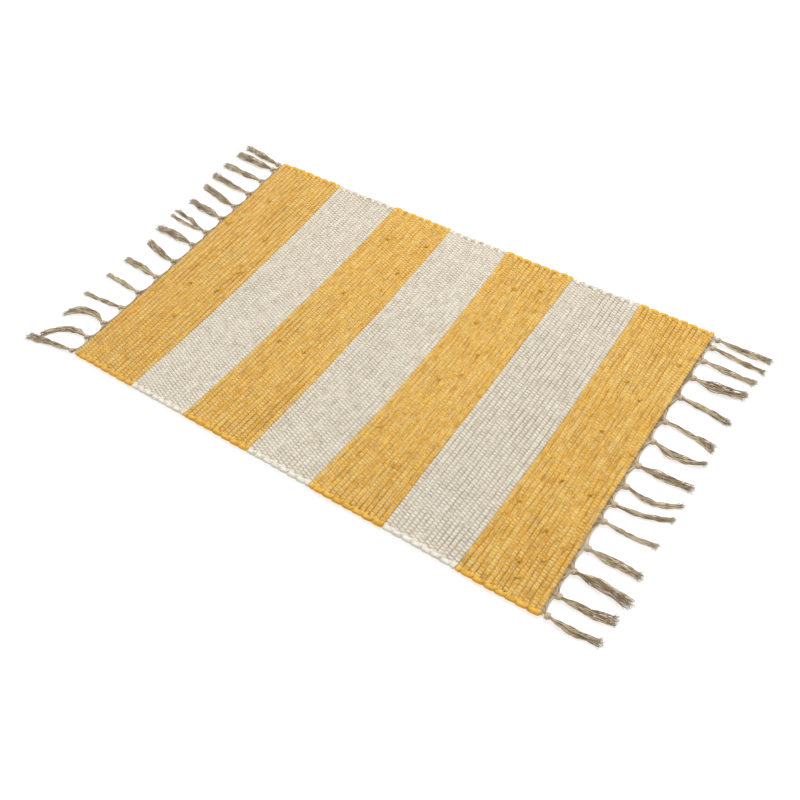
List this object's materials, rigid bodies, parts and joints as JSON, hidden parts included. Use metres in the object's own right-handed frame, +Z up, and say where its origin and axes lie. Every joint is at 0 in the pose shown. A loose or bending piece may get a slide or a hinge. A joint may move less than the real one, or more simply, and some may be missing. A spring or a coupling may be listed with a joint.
{
  "type": "bath mat",
  "caption": "Rectangular hand-woven rag bath mat in plain weave, with wide colour stripes across it and a knotted tassel fringe along each short end.",
  "frame": {"origin": "on the floor, under the middle of the mat", "axes": "+X along the length, across the ribs; +Y across the width, towards the back selvedge; +Z up from the floor"},
  "size_m": [1.1048, 0.6, 0.0097],
  "materials": {
    "rag_yellow": "matt rolled cotton rag, golden yellow with darker and paler strips",
    "rag_cream": "matt rolled cotton rag, off-white",
    "warp_cotton": "matt greige cotton yarn",
    "tassel_cotton": "matt greige cotton yarn, loose and slightly frayed"
  },
  "bodies": {
    "band_1": {"rag_weft_1": "rag_yellow", "warp_1": "warp_cotton", "heading_left": "warp_cotton"},
    "band_2": {"rag_weft_2": "rag_cream", "warp_2": "warp_cotton"},
    "band_3": {"rag_weft_3": "rag_yellow", "warp_3": "warp_cotton"},
    "band_4": {"rag_weft_4": "rag_cream", "warp_4": "warp_cotton"},
    "band_5": {"rag_weft_5": "rag_yellow", "warp_5": "warp_cotton"},
    "band_6": {"rag_weft_6": "rag_cream", "warp_6": "warp_cotton"},
    "band_7": {"rag_weft_7": "rag_yellow", "warp_7": "warp_cotton", "heading_right": "warp_cotton"},
    "tassel_left_01": {"tassel_left_01": "tassel_cotton"},
    "tassel_left_02": {"tassel_left_02": "tassel_cotton"},
    "tassel_left_03": {"tassel_left_03": "tassel_cotton"},
    "tassel_left_04": {"tassel_left_04": "tassel_cotton"},
    "tassel_left_05": {"tassel_left_05": "tassel_cotton"},
    "tassel_left_06": {"tassel_left_06": "tassel_cotton"},
    "tassel_left_07": {"tassel_left_07": "tassel_cotton"},
    "tassel_left_08": {"tassel_left_08": "tassel_cotton"},
    "tassel_left_09": {"tassel_left_09": "tassel_cotton"},
    "tassel_left_10": {"tassel_left_10": "tassel_cotton"},
    "tassel_left_11": {"tassel_left_11": "tassel_cotton"},
    "tassel_left_12": {"tassel_left_12": "tassel_cotton"},
    "tassel_left_13": {"tassel_left_13": "tassel_cotton"},
    "tassel_left_14": {"tassel_left_14": "tassel_cotton"},
    "tassel_left_15": {"tassel_left_15": "tassel_cotton"},
    "tassel_right_01": {"tassel_right_01": "tassel_cotton"},
    "tassel_right_02": {"tassel_right_02": "tassel_cotton"},
    "tassel_right_03": {"tassel_right_03": "tassel_cotton"},
    "tassel_right_04": {"tassel_right_04": "tassel_cotton"},
    "tassel_right_05": {"tassel_right_05": "tassel_cotton"},
    "tassel_right_06": {"tassel_right_06": "tassel_cotton"},
    "tassel_right_07": {"tassel_right_07": "tassel_cotton"},
    "tassel_right_08": {"tassel_right_08": "tassel_cotton"},
    "tassel_right_09": {"tassel_right_09": "tassel_cotton"},
    "tassel_right_10": {"tassel_right_10": "tassel_cotton"},
    "tassel_right_11": {"tassel_right_11": "tassel_cotton"},
    "tassel_right_12": {"tassel_right_12": "tassel_cotton"},
    "tassel_right_13": {"tassel_right_13": "tassel_cotton"},
    "tassel_right_14": {"tassel_right_14": "tassel_cotton"},
    "tassel_right_15": {"tassel_right_15": "tassel_cotton"}
  },
  "joints": [
    {"name": "fold_3_4", "type": "hinge", "parent": "band_4", "child": "band_3", "pos_m": [-0.06345, 0, 0.00485], "axis": [0, 1, 0], "range_deg": [0, 40]},
    {"name": "fold_2_3", "type": "hinge", "parent": "band_3", "child": "band_2", "pos_m": [-0.19935, 0, 0.00485], "axis": [0, 1, 0], "range_deg": [0, 40]},
    {"name": "fold_1_2", "type": "hinge", "parent": "band_2", "child": "band_1", "pos_m": [-0.32625, 0, 0.00485], "axis": [0, 1, 0], "range_deg": [0, 40]},
    {"name": "fold_4_5", "type": "hinge", "parent": "band_4", "child": "band_5", "pos_m": [0.06345, 0, 0.00485], "axis": [0, -1, 0], "range_deg": [0, 40]},
    {"name": "fold_5_6", "type": "hinge", "parent": "band_5", "child": "band_6", "pos_m": [0.19935, 0, 0.00485], "axis": [0, -1, 0], "range_deg": [0, 40]},
    {"name": "fold_6_7", "type": "hinge", "parent": "band_6", "child": "band_7", "pos_m": [0.32625, 0, 0.00485], "axis": [0, -1, 0], "range_deg": [0, 40]},
    {"name": "lift_left_01", "type": "hinge", "parent": "band_1", "child": "tassel_left_01", "pos_m": [-0.46425, 0, 0.00485], "axis": [0, 1, 0], "range_deg": [0, 90]},
    {"name": "lift_left_02", "type": "hinge", "parent": "band_1", "child": "tassel_left_02", "pos_m": [-0.46425, 0, 0.00485], "axis": [0, 1, 0], "range_deg": [0, 90]},
    {"name": "lift_left_03", "type": "hinge", "parent": "band_1", "child": "tassel_left_03", "pos_m": [-0.46425, 0, 0.00485], "axis": [0, 1, 0], "range_deg": [0, 90]},
    {"name": "lift_left_04", "type": "hinge", "parent": "band_1", "child": "tassel_left_04", "pos_m": [-0.46425, 0, 0.00485], "axis": [0, 1, 0], "range_deg": [0, 90]},
    {"name": "lift_left_05", "type": "hinge", "parent": "band_1", "child": "tassel_left_05", "pos_m": [-0.46425, 0, 0.00485], "axis": [0, 1, 0], "range_deg": [0, 90]},
    {"name": "lift_left_06", "type": "hinge", "parent": "band_1", "child": "tassel_left_06", "pos_m": [-0.46425, 0, 0.00485], "axis": [0, 1, 0], "range_deg": [0, 90]},
    {"name": "lift_left_07", "type": "hinge", "parent": "band_1", "child": "tassel_left_07", "pos_m": [-0.46425, 0, 0.00485], "axis": [0, 1, 0], "range_deg": [0, 90]},
    {"name": "lift_left_08", "type": "hinge", "parent": "band_1", "child": "tassel_left_08", "pos_m": [-0.46425, 0, 0.00485], "axis": [0, 1, 0], "range_deg": [0, 90]},
    {"name": "lift_left_09", "type": "hinge", "parent": "band_1", "child": "tassel_left_09", "pos_m": [-0.46425, 0, 0.00485], "axis": [0, 1, 0], "range_deg": [0, 90]},
    {"name": "lift_left_10", "type": "hinge", "parent": "band_1", "child": "tassel_left_10", "pos_m": [-0.46425, 0, 0.00485], "axis": [0, 1, 0], "range_deg": [0, 90]},
    {"name": "lift_left_11", "type": "hinge", "parent": "band_1", "child": "tassel_left_11", "pos_m": [-0.46425, 0, 0.00485], "axis": [0, 1, 0], "range_deg": [0, 90]},
    {"name": "lift_left_12", "type": "hinge", "parent": "band_1", "child": "tassel_left_12", "pos_m": [-0.46425, 0, 0.00485], "axis": [0, 1, 0], "range_deg": [0, 90]},
    {"name": "lift_left_13", "type": "hinge", "parent": "band_1", "child": "tassel_left_13", "pos_m": [-0.46425, 0, 0.00485], "axis": [0, 1, 0], "range_deg": [0, 90]},
    {"name": "lift_left_14", "type": "hinge", "parent": "band_1", "child": "tassel_left_14", "pos_m": [-0.46425, 0, 0.00485], "axis": [0, 1, 0], "range_deg": [0, 90]},
    {"name": "lift_left_15", "type": "hinge", "parent": "band_1", "child": "tassel_left_15", "pos_m": [-0.46425, 0, 0.00485], "axis": [0, 1, 0], "range_deg": [0, 90]},
    {"name": "lift_right_01", "type": "hinge", "parent": "band_7", "child": "tassel_right_01", "pos_m": [0.46425, 0, 0.00485], "axis": [0, -1, 0], "range_deg": [0, 90]},
    {"name": "lift_right_02", "type": "hinge", "parent": "band_7", "child": "tassel_right_02", "pos_m": [0.46425, 0, 0.00485], "axis": [0, -1, 0], "range_deg": [0, 90]},
    {"name": "lift_right_03", "type": "hinge", "parent": "band_7", "child": "tassel_right_03", "pos_m": [0.46425, 0, 0.00485], "axis": [0, -1, 0], "range_deg": [0, 90]},
    {"name": "lift_right_04", "type": "hinge", "parent": "band_7", "child": "tassel_right_04", "pos_m": [0.46425, 0, 0.00485], "axis": [0, -1, 0], "range_deg": [0, 90]},
    {"name": "lift_right_05", "type": "hinge", "parent": "band_7", "child": "tassel_right_05", "pos_m": [0.46425, 0, 0.00485], "axis": [0, -1, 0], "range_deg": [0, 90]},
    {"name": "lift_right_06", "type": "hinge", "parent": "band_7", "child": "tassel_right_06", "pos_m": [0.46425, 0, 0.00485], "axis": [0, -1, 0], "range_deg": [0, 90]},
    {"name": "lift_right_07", "type": "hinge", "parent": "band_7", "child": "tassel_right_07", "pos_m": [0.46425, 0, 0.00485], "axis": [0, -1, 0], "range_deg": [0, 90]},
    {"name": "lift_right_08", "type": "hinge", "parent": "band_7", "child": "tassel_right_08", "pos_m": [0.46425, 0, 0.00485], "axis": [0, -1, 0], "range_deg": [0, 90]},
    {"name": "lift_right_09", "type": "hinge", "parent": "band_7", "child": "tassel_right_09", "pos_m": [0.46425, 0, 0.00485], "axis": [0, -1, 0], "range_deg": [0, 90]},
    {"name": "lift_right_10", "type": "hinge", "parent": "band_7", "child": "tassel_right_10", "pos_m": [0.46425, 0, 0.00485], "axis": [0, -1, 0], "range_deg": [0, 90]},
    {"name": "lift_right_11", "type": "hinge", "parent": "band_7", "child": "tassel_right_11", "pos_m": [0.46425, 0, 0.00485], "axis": [0, -1, 0], "range_deg": [0, 90]},
    {"name": "lift_right_12", "type": "hinge", "parent": "band_7", "child": "tassel_right_12", "pos_m": [0.46425, 0, 0.00485], "axis": [0, -1, 0], "range_deg": [0, 90]},
    {"name": "lift_right_13", "type": "hinge", "parent": "band_7", "child": "tassel_right_13", "pos_m": [0.46425, 0, 0.00485], "axis": [0, -1, 0], "range_deg": [0, 90]},
    {"name": "lift_right_14", "type": "hinge", "parent": "band_7", "child": "tassel_right_14", "pos_m": [0.46425, 0, 0.00485], "axis": [0, -1, 0], "range_deg": [0, 90]},
    {"name": "lift_right_15", "type": "hinge", "parent": "band_7", "child": "tassel_right_15", "pos_m": [0.46425, 0, 0.00485], "axis": [0, -1, 0], "range_deg": [0, 90]}
  ]
}
